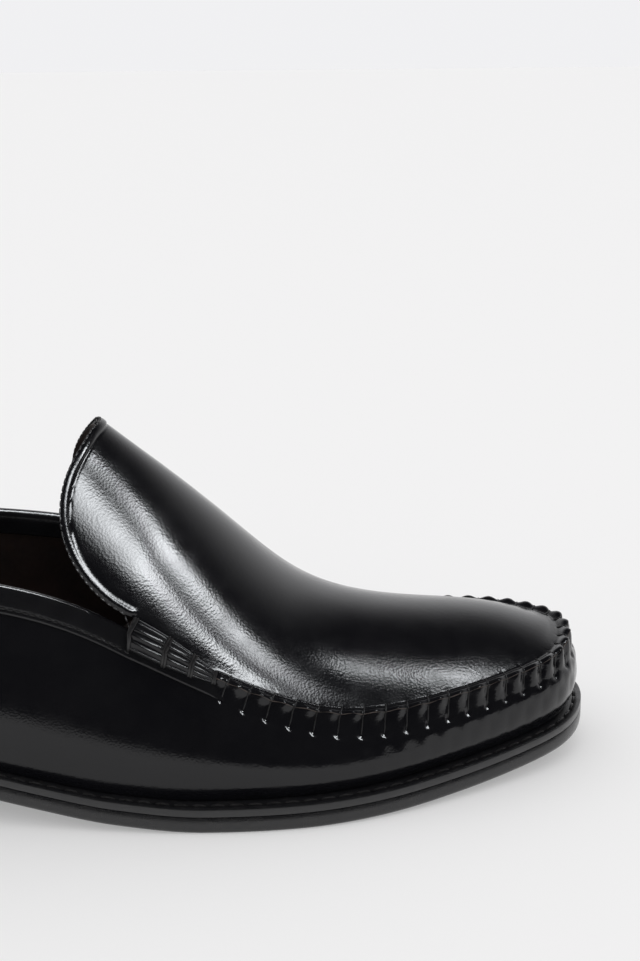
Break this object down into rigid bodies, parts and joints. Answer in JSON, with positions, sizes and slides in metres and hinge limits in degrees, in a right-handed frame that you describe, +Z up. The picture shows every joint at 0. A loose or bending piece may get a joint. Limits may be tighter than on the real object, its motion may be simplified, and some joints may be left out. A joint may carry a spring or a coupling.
{
  "type": "venetian loafer",
  "caption": "Right men's slip-on moccasin in black polished leather with raised apron seam, tall tongue, corded side rolls, welted leather sole and stacked heel.",
  "frame": {"origin": "on the floor under the middle of the shoe's box", "axes": "+X from heel to toe, +Y towards the shoe's inner (medial) side, +Z up"},
  "size_m": [0.3, 0.1016, 0.1035],
  "materials": {
    "upper_leather": "black hi-shine leather, fine grain",
    "lining_leather": "dark brown matte lining leather",
    "insole_leather": "dark brown matte leather",
    "welt_leather": "black inked leather, satin",
    "sole_edge": "black inked and waxed leather edge",
    "heel_rubber": "black matte rubber",
    "thread": "waxed black thread"
  },
  "bodies": {
    "root": {"outsole": "sole_edge", "heel_stack": "sole_edge", "heel_top_piece": "heel_rubber", "welt": "welt_leather", "insole": "insole_leather", "upper": "upper_leather", "collar_binding": "upper_leather", "side_roll_lateral": "upper_leather", "side_roll_medial": "upper_leather"}
  },
  "joints": []
}
